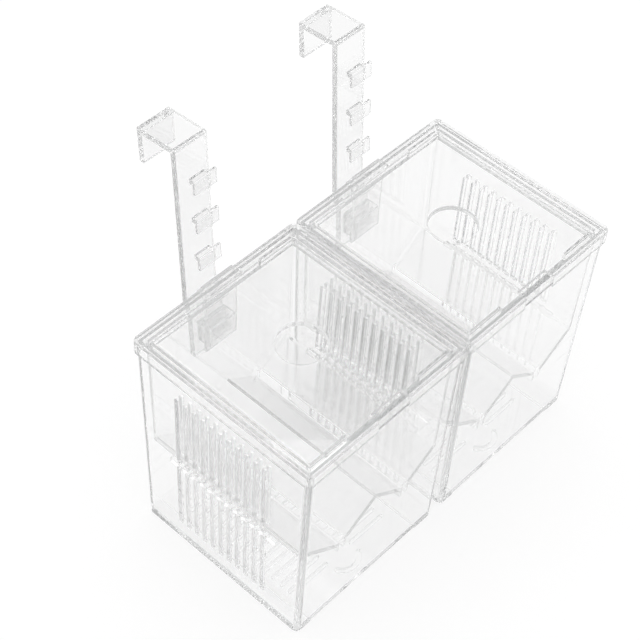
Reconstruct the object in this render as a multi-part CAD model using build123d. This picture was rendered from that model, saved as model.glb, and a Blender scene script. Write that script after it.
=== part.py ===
from build123d import *
from math import cos, radians, sin, tan
import os

# A pair of clear hang-on breeding boxes. Each box has a cap lid, an inner fry tray,
# a clip over its back wall and a height-adjustable hanger for the tank's edge.
# Millimetres, +Z up. +X runs along the pair, +Y points at the tank wall they hang on.
# Each box is drawn about its own centre with its feet at Z = 0, and then placed.

# ---- the pair ----
BOX_LENGTH = 76.7            # along X, over the lid's skirt
BOX_DEPTH = 80.1             # along Y, over the lid's skirt
BOX_HEIGHT = 95.6            # feet to the top of the lid
BOX_PITCH = 77.0             # from one box's centre to the other's
RIM_RADIUS = 2.2             # vertical corners of the lid

# ---- box shell ----
SHELL_TOP = 93.9
WALL = 1.7
RIM_INSET = 0.8              # lid's outer face to the wall's outer face, at the top
END_FOOT_INSET = 2.4         # the same at the feet, on the end walls
SIDE_FOOT_INSET = 2.9        # and on the long walls
SHELL_RADIUS = 2.3
REBATE_INSET = 1.45          # outer face of the thin lip that the lid's skirt goes round
REBATE_BOTTOM = 89.6
FOOT_HEIGHT = 1.6
FOOT_GAP_X = (-29.1, 26.7)   # between the two foot rails; the floor's pattern is off centre too
FLOOR_TOP = 3.3
FOOT_EDGE_ROUND = 0.8

# ---- water slots ----
GRILLE_COUNT = 11
GRILLE_PITCH = 4.0
GRILLE_WIDTH = 2.1
GRILLE_CORNER = 0.7
UPPER_GRILLE = (45.8, 80.9)
LOWER_GRILLE = (10.2, 43.3)
FLOOR_PATTERN_X = -2.4
FLOOR_SLOT_ROWS = 13
FLOOR_SLOT_PITCH = 4.1
FLOOR_SLOT_SPAN = (5.9, 23.4)
FLOOR_SLOT_WIDTH = 1.4
CURVED_SLOT_HALF = 5.6
CURVED_SLOT_Y = (29.2, 32.3)
CURVED_SLOT_WIDTH = 1.9
SHELF_SPAN = 50.0            # shelf inside each end wall that carries the tray
SHELF_REACH = 2.6
SHELF_BAND = (42.1, 43.7)

# ---- cap lid ----
LID_UNDERSIDE = 94.0
SKIRT_BOTTOM = 89.8
SKIRT_WALL = 1.15
RIB_INSET = 3.6
RIB_WALL = 1.3
RIB_BOTTOM = 91.2
RIB_GAP = 35.0               # the rib is open here, front and back, around the clip
HOLE_RADIUS = 8.8
HOLE_CHAMFER = 0.4
LID_EDGE_ROUND = 0.6
NOTCH_WIDTH = 15.0
NOTCH_DEPTH = 4.3
NOTCH_SHIFT = 1.2            # off the box's centre, towards the other box

# ---- fry tray ----
TRAY_TOP = 90.6
TRAY_FOOT = 43.8             # bottom edge of its end walls
TRAY_WALL = 1.4
TRAY_END_GAP = 1.4           # to the shell's end wall
TRAY_SIDE_GAP = 1.0          # to the shell's long wall
TRAY_GRILLE = (48.8, 80.9)
TRAY_RADIUS = 1.6
VALLEY_X = 16.1
VALLEY_SLOT = 2.3
LIP_WALL = 1.3
LIP_BOTTOM = 29.8
RIDGE_UNDERSIDE = 44.0
SLOPE_OUTER_X = 31.8         # where the floor's outer slopes start
FLOOR_SLOPE = 36.5
TRAY_FLOOR_HEIGHT = 1.75     # the sloped floor's thickness, measured upright
VALLEY_SHIFT = 1.3           # the W's valleys and ridge, towards the other box

# ---- hanger clip ----
CLIP_WIDTH = 14.6
CLIP_PLATE_INSET = (-0.55, 0.6)   # from the lid's outer face; the plate stands a little proud
CLIP_BRIDGE = (94.1, 95.4)
CLIP_LEG_INSET = (2.65, 3.35)
CLIP_LEG_BOTTOM = 91.0

# ---- hanger ----
HANGER_LEAN = 4.4            # top away from the box, in its pocket's slack
HANGER_ROLL = 0.3            # and towards +X
HANGER_SHIFT = 0.8           # off the box's centre, towards the other box
HANGER_SEAT_Z = 67.9         # top of the ledge that the clip hangs on
HANGER_FACE_Y = BOX_DEPTH / 2 + 5.9   # strip's front face at that height
STRIP_WIDTH = 13.9
STRIP_THICKNESS = 2.3
STRIP_BELOW = 12.0
STRIP_ABOVE = 82.0
HOOK_DEPTH = 17.8
HOOK_LEG = 14.4
HOOK_EDGE_ROUND = 0.5
TAB_COUNT = 5
TAB_PITCH = 16.8
TAB_LEFT = -2.1
TAB_REACH = 2.5
LEDGE_WIDTH = 6.7
LEDGE_THICKNESS = 2.0
KEEPER_WIDTH = 10.0
KEEPER_HEIGHT = 6.0
KEEPER_THICKNESS = 1.0

# ---- the clip's receiver, in the hanger's own leaning frame ----
RECEIVER_LEFT = -5.3
RECEIVER_RIGHT = 6.7
RECEIVER_SIDE_WALL = 1.1
RECEIVER_BACK_GAP = 0.15
RECEIVER_BACK_WALL = 1.1
RECEIVER_BOTTOM = -4.4
RECEIVER_TOP = 4.9
RECEIVER_ROOF = 1.2
TAB_CLEARANCE = 0.25
TAB_END_CLEARANCE = 0.7

# Past the shape that a cut goes through.
BEYOND = 20.0


def hanger_reach():
    """Furthest Y of the hook's outer leg, in a box's own frame."""
    lean = radians(HANGER_LEAN)
    roll = radians(HANGER_ROLL)
    height = STRIP_ABOVE * cos(roll) + STRIP_WIDTH / 2 * sin(roll)
    return HANGER_FACE_Y + HOOK_DEPTH * cos(lean) + height * sin(lean)


# The origin is under the middle of the whole object's box, hangers included.
ORIGIN_Y = (hanger_reach() - BOX_DEPTH / 2) / 2


def half_sizes(inset_x, inset_y, z):
    """Half length and half depth of the drafted shell at a height, less the insets."""
    drop = (SHELL_TOP - z) / SHELL_TOP
    end_inset = RIM_INSET + (END_FOOT_INSET - RIM_INSET) * drop
    side_inset = RIM_INSET + (SIDE_FOOT_INSET - RIM_INSET) * drop
    return BOX_LENGTH / 2 - end_inset - inset_x, BOX_DEPTH / 2 - side_inset - inset_y


def drafted_block(inset_x, inset_y, z_low, z_high, radius):
    """Solid between two heights with the shell's draft."""
    sections = []
    for z in (z_low, z_high):
        half_x, half_y = half_sizes(inset_x, inset_y, z)
        sections.append(Pos(0, 0, z) * RectangleRounded(2 * half_x, 2 * half_y, radius))
    return loft(sections, ruled=True)


def block(x_span, y_span, z_span):
    """Plain box from its low and high faces."""
    size = [high - low for low, high in (x_span, y_span, z_span)]
    middle = [(high + low) / 2 for low, high in (x_span, y_span, z_span)]
    return Pos(*middle) * Box(*size)


def rounded_ring(outer_inset, inner_inset, z_low, z_high):
    """Upright wall that follows the lid's outline between two insets."""
    rings = []
    for inset in (outer_inset, inner_inset):
        radius = max(RIM_RADIUS - inset, 0.8)
        rings.append(RectangleRounded(BOX_LENGTH - 2 * inset, BOX_DEPTH - 2 * inset, radius))
    return Pos(0, 0, z_low) * extrude(rings[0] - rings[1], z_high - z_low)


def grille_cuts(z_span):
    """One row of upright slots, cut along X through both end walls."""
    z_low, z_high = z_span
    first = -GRILLE_PITCH * (GRILLE_COUNT - 1) / 2
    window = RectangleRounded(GRILLE_WIDTH, z_high - z_low, GRILLE_CORNER)
    cuts = []
    for index in range(GRILLE_COUNT):
        plane = Plane(origin=(0, first + GRILLE_PITCH * index, (z_low + z_high) / 2),
                      x_dir=(0, 1, 0), z_dir=(1, 0, 0))
        cuts.append(extrude(plane * window, BOX_LENGTH, both=True))
    return cuts


def floor_cuts():
    """Rows of floor slots, and a curved slot at the front and at the back."""
    low, high = FLOOR_SLOT_SPAN
    slot = SlotOverall(high - low, FLOOR_SLOT_WIDTH)
    cuts = []
    first = -FLOOR_SLOT_PITCH * (FLOOR_SLOT_ROWS - 1) / 2
    for row in range(FLOOR_SLOT_ROWS):
        for side in (-1, 1):
            middle = FLOOR_PATTERN_X + side * (low + high) / 2
            place = Pos(middle, first + FLOOR_SLOT_PITCH * row, -1)
            cuts.append(place * extrude(slot, FLOOR_TOP + 2))
    near, far = CURVED_SLOT_Y
    for side in (-1, 1):
        arc = ThreePointArc((-CURVED_SLOT_HALF, side * near), (0, side * far),
                            (CURVED_SLOT_HALF, side * near))
        curved = extrude(SlotArc(arc, CURVED_SLOT_WIDTH), FLOOR_TOP + 2)
        cuts.append(Pos(FLOOR_PATTERN_X, 0, -1) * curved)
    return cuts


def box_shell():
    """Open drafted box with slotted ends and floor, on two foot rails."""
    outer = drafted_block(0, 0, 0, SHELL_TOP, SHELL_RADIUS)
    outer = fillet(outer.faces().sort_by(Axis.Z)[0].edges(), FOOT_EDGE_ROUND)
    cavity = drafted_block(WALL, WALL, FLOOR_TOP, SHELL_TOP + 1, SHELL_RADIUS - WALL)
    shell = outer - cavity - rounded_ring(-RIM_RADIUS, REBATE_INSET, REBATE_BOTTOM, SHELL_TOP + 1)
    channel = block(FOOT_GAP_X, (-BOX_DEPTH, BOX_DEPTH), (-1, FOOT_HEIGHT))
    shell = shell - channel
    shelf_low, shelf_high = SHELF_BAND
    inner_x, _ = half_sizes(WALL, WALL, shelf_high)
    for side in (-1, 1):
        ends = sorted((side * (inner_x - SHELF_REACH), side * (inner_x + WALL / 2)))
        shell = shell + block(ends, (-SHELF_SPAN / 2, SHELF_SPAN / 2), SHELF_BAND)
    return shell - grille_cuts(UPPER_GRILLE) - grille_cuts(LOWER_GRILLE) - floor_cuts()


def cap_lid(towards):
    """Panel with skirt, locating rib, feeding hole and a notch front and back."""
    panel = RectangleRounded(BOX_LENGTH, BOX_DEPTH, RIM_RADIUS)
    cap = Pos(0, 0, SKIRT_BOTTOM) * extrude(panel, BOX_HEIGHT - SKIRT_BOTTOM)
    cap = fillet(cap.faces().sort_by(Axis.Z)[-1].edges(), LID_EDGE_ROUND)
    hollow_outline = RectangleRounded(BOX_LENGTH - 2 * SKIRT_WALL, BOX_DEPTH - 2 * SKIRT_WALL,
                                      RIM_RADIUS - SKIRT_WALL)
    cap = cap - Pos(0, 0, SKIRT_BOTTOM) * extrude(hollow_outline, LID_UNDERSIDE - SKIRT_BOTTOM)
    rib = rounded_ring(RIB_INSET, RIB_INSET + RIB_WALL, RIB_BOTTOM, LID_UNDERSIDE)
    rib = rib - block((-RIB_GAP / 2, RIB_GAP / 2), (-BOX_DEPTH, BOX_DEPTH),
                      (RIB_BOTTOM - 1, LID_UNDERSIDE))
    cap = cap + rib
    middle = towards * NOTCH_SHIFT
    for side in (-1, 1):
        ends = sorted((side * (BOX_DEPTH / 2 - NOTCH_DEPTH), side * (BOX_DEPTH / 2 + BEYOND)))
        cap = cap - block((middle - NOTCH_WIDTH / 2, middle + NOTCH_WIDTH / 2), ends,
                          (SKIRT_BOTTOM - 1, BOX_HEIGHT + 1))
    cap = cap - Pos(0, 0, BOX_HEIGHT) * Cylinder(HOLE_RADIUS, 2 * (BOX_HEIGHT - SKIRT_BOTTOM))
    bevel = Cone(HOLE_RADIUS, HOLE_RADIUS + HOLE_CHAMFER, HOLE_CHAMFER)
    return cap - Pos(0, 0, BOX_HEIGHT - HOLE_CHAMFER / 2) * bevel


def w_side(middle, side, lift):
    """Points of one side of the W floor's section, from the ridge out to the side wall."""
    fall = tan(radians(FLOOR_SLOPE))
    valley = middle + side * VALLEY_X
    lip = VALLEY_SLOT / 2 + LIP_WALL

    def inner_slope(x):
        return x, RIDGE_UNDERSIDE + lift - abs(x - middle) * fall

    def outer_slope(x):
        return x, TRAY_FOOT + lift - (SLOPE_OUTER_X - abs(x)) * fall

    if lift == 0:
        points = [inner_slope(valley - side * lip),
                  (valley - side * (lip - LIP_WALL / 3), LIP_BOTTOM),
                  (valley + side * (lip - LIP_WALL / 3), LIP_BOTTOM),
                  outer_slope(valley + side * lip)]
    else:
        points = [inner_slope(valley - side * VALLEY_SLOT / 2),
                  outer_slope(valley + side * VALLEY_SLOT / 2)]
    points.append((side * SLOPE_OUTER_X, TRAY_FOOT + lift))
    points.append((side * BOX_LENGTH, TRAY_FOOT + lift))
    points.append((side * BOX_LENGTH, BOX_HEIGHT + BEYOND))
    return points


def w_region(towards, lift):
    """Space above the W floor's underside, or above its top when lifted."""
    middle = towards * VALLEY_SHIFT
    right = w_side(middle, 1, lift)
    left = w_side(middle, -1, lift)
    outline = make_face(Polyline((middle, RIDGE_UNDERSIDE + lift), *right, *reversed(left), close=True))
    return extrude(Plane.XZ * outline, BOX_DEPTH, both=True)


def fry_tray(towards):
    """Inner box with slotted ends and a W floor that drops fry through two long slots."""
    inset_x = WALL + TRAY_END_GAP
    inset_y = WALL + TRAY_SIDE_GAP
    outer = drafted_block(inset_x, inset_y, LIP_BOTTOM - 1, TRAY_TOP, TRAY_RADIUS)
    inner = drafted_block(inset_x + TRAY_WALL, inset_y + TRAY_WALL, LIP_BOTTOM - 1, TRAY_TOP + 1,
                          TRAY_RADIUS / 2)
    tray = (outer & w_region(towards, 0)) - (inner & w_region(towards, TRAY_FLOOR_HEIGHT))
    for side in (-1, 1):
        valley = towards * VALLEY_SHIFT + side * VALLEY_X
        tray = tray - block((valley - VALLEY_SLOT / 2, valley + VALLEY_SLOT / 2),
                            (-BOX_DEPTH, BOX_DEPTH), (LIP_BOTTOM - 1, LIP_BOTTOM + 7))
    return tray - grille_cuts(TRAY_GRILLE)


def seat_frame():
    """Frame of the tab that the clip hangs on: up runs along the leaning strip."""
    return Pos(0, HANGER_FACE_Y, HANGER_SEAT_Z) * Rot(-HANGER_LEAN, 0, 0)


def hanger_clip():
    """Plate hooked over the back wall, with a pocket for a hanger tab."""
    back = BOX_DEPTH / 2
    half = CLIP_WIDTH / 2
    pocket_foot = HANGER_SEAT_Z + RECEIVER_BOTTOM
    bridge_high = CLIP_BRIDGE[1]
    plate_out, plate_in = CLIP_PLATE_INSET
    leg_near, leg_far = CLIP_LEG_INSET
    plate = block((-half, half), (back - plate_in, back - plate_out), (pocket_foot, bridge_high))
    bridge = block((-half, half), (back - leg_far, back - plate_out), CLIP_BRIDGE)
    leg = block((-half, half), (back - leg_far, back - leg_near), (CLIP_LEG_BOTTOM, bridge_high))
    rear = -RECEIVER_BACK_GAP
    housing = block((RECEIVER_LEFT, RECEIVER_RIGHT), (-BEYOND, rear), (RECEIVER_BOTTOM, RECEIVER_TOP))
    hollow = block((RECEIVER_LEFT + RECEIVER_SIDE_WALL, BEYOND),
                   (-2 * BEYOND, rear - RECEIVER_BACK_WALL),
                   (-BEYOND, RECEIVER_TOP - RECEIVER_ROOF))
    slot = block((TAB_LEFT - TAB_END_CLEARANCE, BEYOND), (-BEYOND, BEYOND),
                 (-LEDGE_THICKNESS - TAB_CLEARANCE, TAB_CLEARANCE))
    receiver = seat_frame() * (housing - hollow - slot)
    behind_plate = block((-BEYOND, BEYOND), (back - (plate_in + plate_out) / 2, back + BEYOND),
                         (pocket_foot, BOX_HEIGHT))
    return plate + bridge + leg + (receiver & behind_plate)


def hanger():
    """Strip with height tabs in front and a hook over the tank's wall behind."""
    half = STRIP_WIDTH / 2
    hook_low = STRIP_ABOVE - STRIP_THICKNESS
    strip = block((-half, half), (0, STRIP_THICKNESS), (-STRIP_BELOW, STRIP_ABOVE))
    top = block((-half, half), (0, HOOK_DEPTH), (hook_low, STRIP_ABOVE))
    leg = block((-half, half), (HOOK_DEPTH - STRIP_THICKNESS, HOOK_DEPTH),
                (STRIP_ABOVE - HOOK_LEG, STRIP_ABOVE))
    frame = strip + top + leg
    frame = fillet(frame.edges().filter_by(Axis.X), HOOK_EDGE_ROUND)
    for index in range(TAB_COUNT):
        z = TAB_PITCH * index
        ledge = block((TAB_LEFT, TAB_LEFT + LEDGE_WIDTH), (-TAB_REACH, STRIP_THICKNESS / 2),
                      (z - LEDGE_THICKNESS, z))
        keeper = block((TAB_LEFT, TAB_LEFT + KEEPER_WIDTH),
                       (-TAB_REACH, -TAB_REACH + KEEPER_THICKNESS), (z - KEEPER_HEIGHT, z))
        frame = frame + ledge + keeper
    return seat_frame() * Rot(0, HANGER_ROLL, 0) * frame


def build_pieces():
    """Every piece in its place, by name."""
    pieces = {}
    for name, side in (("left", -1), ("right", 1)):
        towards = -side
        place = Pos(side * BOX_PITCH / 2, -ORIGIN_Y, 0)
        pieces[f"{name}_box_shell"] = place * box_shell()
        pieces[f"{name}_cap_lid"] = place * cap_lid(towards)
        pieces[f"{name}_fry_tray"] = place * fry_tray(towards)
        pieces[f"{name}_hanger_clip"] = place * Pos(towards * NOTCH_SHIFT, 0, 0) * hanger_clip()
        pieces[f"{name}_hanger"] = place * Pos(towards * HANGER_SHIFT, 0, 0) * hanger()
    return pieces


os.makedirs("parts", exist_ok=True)
for node, piece in build_pieces().items():
    export_step(piece, f"parts/{node}.step")
    print(node, "solids", len(piece.solids()), "volume", round(piece.volume, 1))
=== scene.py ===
from math import cos, radians, sin

import bpy
from mathutils import Matrix, Vector

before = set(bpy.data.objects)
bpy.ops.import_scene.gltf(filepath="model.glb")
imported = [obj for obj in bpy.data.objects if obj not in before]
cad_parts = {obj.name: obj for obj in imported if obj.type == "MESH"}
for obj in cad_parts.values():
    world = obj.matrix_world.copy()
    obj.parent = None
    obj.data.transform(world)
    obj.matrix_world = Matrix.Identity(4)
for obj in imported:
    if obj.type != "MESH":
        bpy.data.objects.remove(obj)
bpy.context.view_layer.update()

# A pair of clear moulded breeding boxes on a plain white table, in soft studio light.
# Metres, +Z up. +X runs along the pair and +Y points at the hooks.

# ---- camera, fitted to straight edges in the photograph ----
CAMERA_PLACE = (-0.32505, -0.26153, 0.53802)
CAMERA_AZIMUTH = 50.138        # degrees from +Y towards +X
CAMERA_DROP = 48.717           # degrees below the horizon
CAMERA_ROLL = 4.227            # degrees
CAMERA_LENS = 100.29           # millimetres
SENSOR_WIDTH = 36.0            # millimetres

# ---- clear plastic ----
PLASTIC_IOR = 1.5
ABSORB_COLOUR = (0.80, 0.805, 0.805, 1.0)
ABSORB_DENSITY = 28.0
# Lightest and greyest tint of each kind of piece.
TINTS = {
    "box_shell": (0.999, 0.996),
    "cap_lid": (0.999, 0.996),
    "fry_tray": (0.999, 0.995),
    "hanger_clip": (0.97, 0.95),
    "hanger": (0.965, 0.945),
}
CLOUD_SCALE = 28.0             # patches of tint and polish
CLOUD_DETAIL = 2.0
LEAST_POLISHED = 0.01          # roughness of the dullest polished patch
WAVE_SCALE = 45.0              # flow waves
WAVE_DETAIL = 1.0
WAVE_STRENGTH = 0.05
WAVE_HEIGHT = 0.0003
PATTERN_STEP = (0.37, 0.11, 0.23)    # shifts the patterns from one piece to the next

# ---- matt faces, with a painted shade: slot flanks, roundings, narrow ends and the hangers' narrow sides ----
MATT_PAINTED_SHADE = 0.975             # painted shade on matt faces, times the piece's lightest tint
MATT_ROUGHNESS = 0.25
# Share of the light that a piece's matt faces don't bend.
MATT_SEE_THROUGH = {
    "box_shell": 0.6,
    "cap_lid": 0.7,
    "fry_tray": 0.8,
    "hanger_clip": 0.6,
    "hanger": 0.5,
}
SLOTTED = ("box_shell", "fry_tray")
SLOT_MIDDLE = 0.5              # of the slotted stretch, as a share of the piece's depth
SLOT_REACH = 0.4               # from there each way, which leaves out the side walls
EDGED = ("hanger",)
SQUARE_ON = 0.8                # part of a face's direction above which it looks along an axis
ROUNDED = ("box_shell", "cap_lid", "hanger", "hanger_clip")
ROUNDED_BELOW = 0.96           # every axis part of a rounding's direction is under this
# Share of a piece's height below which, and above which, its narrow ends lie.
LOW_END = {"fry_tray": 0.004, "cap_lid": 0.01}
HIGH_END = {"box_shell": 0.999, "fry_tray": 0.998}

# ---- frosted faces, in the piece's lightest tint: the tray's slopes and the clip's lower end ----
FROST_ROUGHNESS = 0.17
FROSTED_SLOPES = {"fry_tray": (0.6, 0.95)}    # upright part of a slope's direction
FROSTED_BELOW = {"hanger_clip": 0.29}         # share of the piece's height

# ---- light paths ----
MOST_BOUNCES = 20
MOST_SEE_THROUGH = 48          # unbent passes through matt faces along one ray
PAST_LAST_BOUNCE = MOST_BOUNCES + 0.5
PAINTED_GLOW = 0.9            # painted glow: brightness that the plastic shows a ray past the last bounce
SEEING_RAYS = ("Is Camera Ray", "Is Glossy Ray", "Is Transmission Ray")

# ---- studio ----
FLOOR_SIZE = 6.0
FLOOR_DROP = 0.0001            # keeps the table's face apart from the feet's
FLOOR_SHADE = (0.8, 0.8, 0.8, 1.0)
FLOOR_GLOW_SHARE = 0.8         # how much of the table's look is plain white
FLOOR_GLOW = 1.06
TENT_FOOT = -0.1               # upright part of the direction to the tent's greyest part
TENT_CROWN = 0.9               # and to its whitest
# Share of the way up from foot to crown, and the shade there.
TENT_SHADES = ((0.0, 0.80), (0.55, 0.94), (1.0, 1.0))
TENT_STRENGTH = 0.95
SOFTBOX_PLACE = (0.1, 0.1, 1.1)
SOFTBOX_TARGET = (0, 0, 0.05)
SOFTBOX_SIZE = 1.0
SOFTBOX_POWER = 3.0


def grey(shade):
    """Opaque grey as a colour."""
    return (shade, shade, shade, 1.0)


def new_material(name):
    """Material with an empty node tree; gives the material, its nodes and a link maker."""
    material = bpy.data.materials.new(name)
    material.use_nodes = True
    tree = material.node_tree
    tree.nodes.clear()
    return material, tree.nodes, tree.links.new


def calculate(nodes, link, operation, first, second=0.0):
    """One math step on two values, each a socket or a number."""
    step = nodes.new("ShaderNodeMath")
    step.operation = operation
    for value, socket in zip((first, second), step.inputs):
        if isinstance(value, float):
            socket.default_value = value
        else:
            link(value, socket)
    return step.outputs["Value"]


def distance(nodes, link, value, middle=0.0):
    """How far a value is from the middle, either way."""
    shifted = calculate(nodes, link, "SUBTRACT", value, middle)
    return calculate(nodes, link, "ABSOLUTE", shifted)


def largest(nodes, link, values):
    """Largest of some values: of masks, 1 where any is 1."""
    most = values[0]
    for value in values[1:]:
        most = calculate(nodes, link, "MAXIMUM", most, value)
    return most


def noise(nodes, link, vector, scale, detail):
    """Cloudy pattern between 0 and 1."""
    cloud = nodes.new("ShaderNodeTexNoise")
    cloud.inputs["Scale"].default_value = scale
    cloud.inputs["Detail"].default_value = detail
    link(vector, cloud.inputs["Vector"])
    return cloud.outputs["Fac"]


def stretch(nodes, link, value, start, end):
    """A value between 0 and 1 spread from a start to an end."""
    spread = nodes.new("ShaderNodeMapRange")
    spread.inputs["To Min"].default_value = start
    spread.inputs["To Max"].default_value = end
    link(value, spread.inputs["Value"])
    return spread.outputs["Result"]


def grey_where(nodes, link, mask, colour, shade):
    """A colour, but an even grey where the mask is 1."""
    mix = nodes.new("ShaderNodeMix")
    mix.data_type = "RGBA"
    link(mask, mix.inputs["Factor"])
    link(colour, mix.inputs["A"])
    mix.inputs["B"].default_value = grey(shade)
    return mix.outputs["Result"]


def number_where(nodes, link, mask, value, number):
    """A value, but an even number where the mask is 1."""
    mix = nodes.new("ShaderNodeMix")
    link(mask, mix.inputs["Factor"])
    link(value, mix.inputs["A"])
    mix.inputs["B"].default_value = number
    return mix.outputs["Result"]


def matt_and_painted_shade_faces(nodes, link, kind, where, looks):
    """Mask of what the mould leaves matt and where shade is painted: ends, flanks, narrow sides and
    roundings.
    """
    masks = []
    if kind in LOW_END:
        masks.append(calculate(nodes, link, "LESS_THAN", where["Z"], LOW_END[kind]))
    if kind in HIGH_END:
        masks.append(calculate(nodes, link, "GREATER_THAN", where["Z"], HIGH_END[kind]))
    if kind in SLOTTED:
        flank = calculate(nodes, link, "GREATER_THAN", looks["Y"], SQUARE_ON)
        reach = distance(nodes, link, where["Y"], SLOT_MIDDLE)
        inside = calculate(nodes, link, "LESS_THAN", reach, SLOT_REACH)
        masks.append(calculate(nodes, link, "MULTIPLY", flank, inside))
    if kind in EDGED:
        masks.append(calculate(nodes, link, "GREATER_THAN", looks["X"], SQUARE_ON))
    if kind in ROUNDED:
        most = largest(nodes, link, list(looks.values()))
        masks.append(calculate(nodes, link, "LESS_THAN", most, ROUNDED_BELOW))
    return largest(nodes, link, masks)


def frosted_faces(nodes, link, kind, where, looks):
    """Mask of a piece's frosted faces, or None for a piece that has none."""
    if kind in FROSTED_BELOW:
        return calculate(nodes, link, "LESS_THAN", where["Z"], FROSTED_BELOW[kind])
    if kind in FROSTED_SLOPES:
        least, most = FROSTED_SLOPES[kind]
        off_wall = calculate(nodes, link, "GREATER_THAN", looks["Z"], least)
        off_level = calculate(nodes, link, "LESS_THAN", looks["Z"], most)
        return calculate(nodes, link, "MULTIPLY", off_wall, off_level)
    return None


def finish_of_faces(nodes, link, place, cloud, kind):
    """Colour, roughness and opacity over polished, frosted and matt faces, with painted shade on the
    matt faces.
    """
    # Place as shares of the piece's own box, and how much a face looks along each axis.
    where = nodes.new("ShaderNodeSeparateXYZ")
    link(place.outputs["Generated"], where.inputs["Vector"])
    facing = nodes.new("ShaderNodeSeparateXYZ")
    link(place.outputs["Normal"], facing.inputs["Vector"])
    looks = {axis: distance(nodes, link, facing.outputs[axis]) for axis in "XYZ"}

    lightest, greyest = TINTS[kind]
    tint = nodes.new("ShaderNodeMix")
    tint.data_type = "RGBA"
    tint.inputs["A"].default_value = grey(lightest)
    tint.inputs["B"].default_value = grey(greyest)
    link(cloud, tint.inputs["Factor"])
    colour = tint.outputs["Result"]
    rough = stretch(nodes, link, cloud, 0.0, LEAST_POLISHED)

    frost = frosted_faces(nodes, link, kind, where.outputs, looks)
    if frost is not None:
        colour = grey_where(nodes, link, frost, colour, lightest)
        rough = number_where(nodes, link, frost, rough, FROST_ROUGHNESS)
    matt_and_shade = matt_and_painted_shade_faces(nodes, link, kind, where.outputs, looks)
    # Painted shade: the matt faces take a greyer tint for the grey lines that light and shade draw
    # along edges.
    colour = grey_where(nodes, link, matt_and_shade, colour, lightest * MATT_PAINTED_SHADE)
    rough = number_where(nodes, link, matt_and_shade, rough, MATT_ROUGHNESS)
    opacity = stretch(nodes, link, matt_and_shade, 1.0, 1.0 - MATT_SEE_THROUGH[kind])
    return colour, rough, opacity


def flow_waves(nodes, link, vector):
    """Faint bumps of the moulding's flow, as a normal."""
    bump = nodes.new("ShaderNodeBump")
    bump.inputs["Strength"].default_value = WAVE_STRENGTH
    bump.inputs["Distance"].default_value = WAVE_HEIGHT
    link(noise(nodes, link, vector, WAVE_SCALE, WAVE_DETAIL), bump.inputs["Height"])
    return bump.outputs["Normal"]


def painted_glow_past_last_bounce(nodes, link):
    """Painted glow on the plastic for a ray past the last bounce, which would end black."""
    path = nodes.new("ShaderNodeLightPath")
    too_deep = calculate(nodes, link, "GREATER_THAN", path.outputs["Ray Depth"], PAST_LAST_BOUNCE)
    return calculate(nodes, link, "MULTIPLY", too_deep, PAINTED_GLOW)


def clear_plastic(name, index, kind):
    """Clear colourless moulding: faint flow waves, uneven tint and polish, frosted faces, matt faces
    with painted shade.
    """
    material, nodes, link = new_material(name)
    place = nodes.new("ShaderNodeTexCoord")
    shift = nodes.new("ShaderNodeMapping")
    shift.inputs["Location"].default_value = [index * step for step in PATTERN_STEP]
    link(place.outputs["Object"], shift.inputs["Vector"])
    pattern = shift.outputs["Vector"]
    cloud = noise(nodes, link, pattern, CLOUD_SCALE, CLOUD_DETAIL)
    colour, rough, opacity = finish_of_faces(nodes, link, place, cloud, kind)

    shader = nodes.new("ShaderNodeBsdfPrincipled")
    shader.inputs["Transmission Weight"].default_value = 1.0
    shader.inputs["IOR"].default_value = PLASTIC_IOR
    shader.inputs["Emission Color"].default_value = grey(1.0)
    link(colour, shader.inputs["Base Color"])
    link(rough, shader.inputs["Roughness"])
    link(opacity, shader.inputs["Alpha"])
    link(flow_waves(nodes, link, pattern), shader.inputs["Normal"])
    # Painted glow: the plastic glows for rays past the last bounce.
    link(painted_glow_past_last_bounce(nodes, link), shader.inputs["Emission Strength"])

    depth = nodes.new("ShaderNodeVolumeAbsorption")
    depth.inputs["Color"].default_value = ABSORB_COLOUR
    depth.inputs["Density"].default_value = ABSORB_DENSITY
    output = nodes.new("ShaderNodeOutputMaterial")
    link(shader.outputs["BSDF"], output.inputs["Surface"])
    link(depth.outputs["Volume"], output.inputs["Volume"])
    return material


def white_for_sight(nodes, link, strength):
    """Strength that only camera, mirror and see-through rays pick up."""
    path = nodes.new("ShaderNodeLightPath")
    seen = largest(nodes, link, [path.outputs[ray] for ray in SEEING_RAYS])
    return calculate(nodes, link, "MULTIPLY", seen, strength)


def table_top():
    """White table under the pair: keeps a soft shadow, reads white where it is open."""
    bpy.ops.mesh.primitive_plane_add(size=FLOOR_SIZE)
    floor = bpy.context.object
    floor.name = "table_top"
    floor.location.z = -FLOOR_DROP
    material, nodes, link = new_material("white_table")
    matte = nodes.new("ShaderNodeBsdfDiffuse")
    matte.inputs["Color"].default_value = FLOOR_SHADE
    glow = nodes.new("ShaderNodeEmission")
    glow.inputs["Strength"].default_value = FLOOR_GLOW
    both = nodes.new("ShaderNodeMixShader")
    link(white_for_sight(nodes, link, FLOOR_GLOW_SHARE), both.inputs["Fac"])
    link(matte.outputs["BSDF"], both.inputs[1])
    link(glow.outputs["Emission"], both.inputs[2])
    output = nodes.new("ShaderNodeOutputMaterial")
    link(both.outputs["Shader"], output.inputs["Surface"])
    floor.data.materials.append(material)


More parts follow.
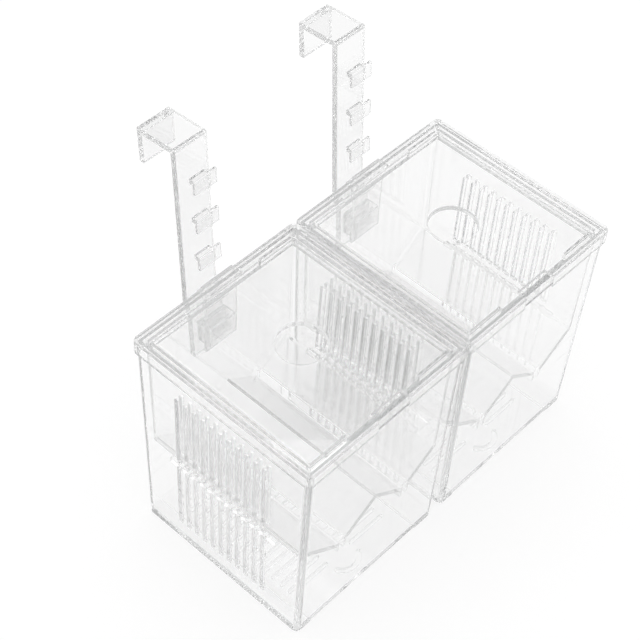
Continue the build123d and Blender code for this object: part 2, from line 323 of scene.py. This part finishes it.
def studio_world():
    """Soft white tent that is greyer towards its lower edge."""
    world = bpy.data.worlds.new("studio")
    world.use_nodes = True
    nodes = world.node_tree.nodes
    link = world.node_tree.links.new
    nodes.clear()
    place = nodes.new("ShaderNodeTexCoord")
    split = nodes.new("ShaderNodeSeparateXYZ")
    link(place.outputs["Generated"], split.inputs["Vector"])
    height = nodes.new("ShaderNodeMapRange")
    height.inputs["From Min"].default_value = TENT_FOOT
    height.inputs["From Max"].default_value = TENT_CROWN
    link(split.outputs["Z"], height.inputs["Value"])
    shade = nodes.new("ShaderNodeValToRGB")
    steps = shade.color_ramp.elements
    while len(steps) < len(TENT_SHADES):
        steps.new(1.0)
    for step, (share, brightness) in zip(steps, TENT_SHADES):
        step.position = share
        step.color = grey(brightness)
    link(height.outputs["Result"], shade.inputs["Fac"])
    background = nodes.new("ShaderNodeBackground")
    link(shade.outputs["Color"], background.inputs["Color"])
    background.inputs["Strength"].default_value = TENT_STRENGTH
    output = nodes.new("ShaderNodeOutputWorld")
    link(background.outputs["Background"], output.inputs["Surface"])
    bpy.context.scene.world = world


def camera():
    """Camera at the photograph's place and angle."""
    azimuth = radians(CAMERA_AZIMUTH)
    drop = radians(CAMERA_DROP)
    ahead = Vector((sin(azimuth) * cos(drop), cos(azimuth) * cos(drop), -sin(drop)))
    right = ahead.cross(Vector((0, 0, 1))).normalized()
    above = right.cross(ahead)
    axes = Matrix((right, above, -ahead)).transposed().to_4x4()
    roll = Matrix.Rotation(radians(CAMERA_ROLL), 4, "Z")
    data = bpy.data.cameras.new("camera")
    data.lens = CAMERA_LENS
    data.sensor_width = SENSOR_WIDTH
    view = bpy.data.objects.new("camera", data)
    view.matrix_world = Matrix.Translation(CAMERA_PLACE) @ axes @ roll
    bpy.context.scene.collection.objects.link(view)
    bpy.context.scene.camera = view


def softbox():
    """Square soft box over the pair, pointed at its target."""
    data = bpy.data.lights.new("top_softbox", "AREA")
    data.shape = "SQUARE"
    data.size = SOFTBOX_SIZE
    data.energy = SOFTBOX_POWER
    lamp = bpy.data.objects.new("top_softbox", data)
    lamp.location = SOFTBOX_PLACE
    way = Vector(SOFTBOX_TARGET) - Vector(SOFTBOX_PLACE)
    lamp.rotation_euler = way.to_track_quat("-Z", "Y").to_euler()
    bpy.context.scene.collection.objects.link(lamp)


scene = bpy.context.scene
scene.view_settings.view_transform = "Standard"
scene.cycles.max_bounces = MOST_BOUNCES
scene.cycles.transmission_bounces = MOST_BOUNCES
scene.cycles.glossy_bounces = MOST_BOUNCES
scene.cycles.transparent_max_bounces = MOST_SEE_THROUGH

camera()
studio_world()
table_top()
softbox()

for index, (node, piece) in enumerate(sorted(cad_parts.items())):
    kind = node.split("_", 1)[1]
    piece.data.materials.clear()
    piece.data.materials.append(clear_plastic(f"clear_{node}", index, kind))
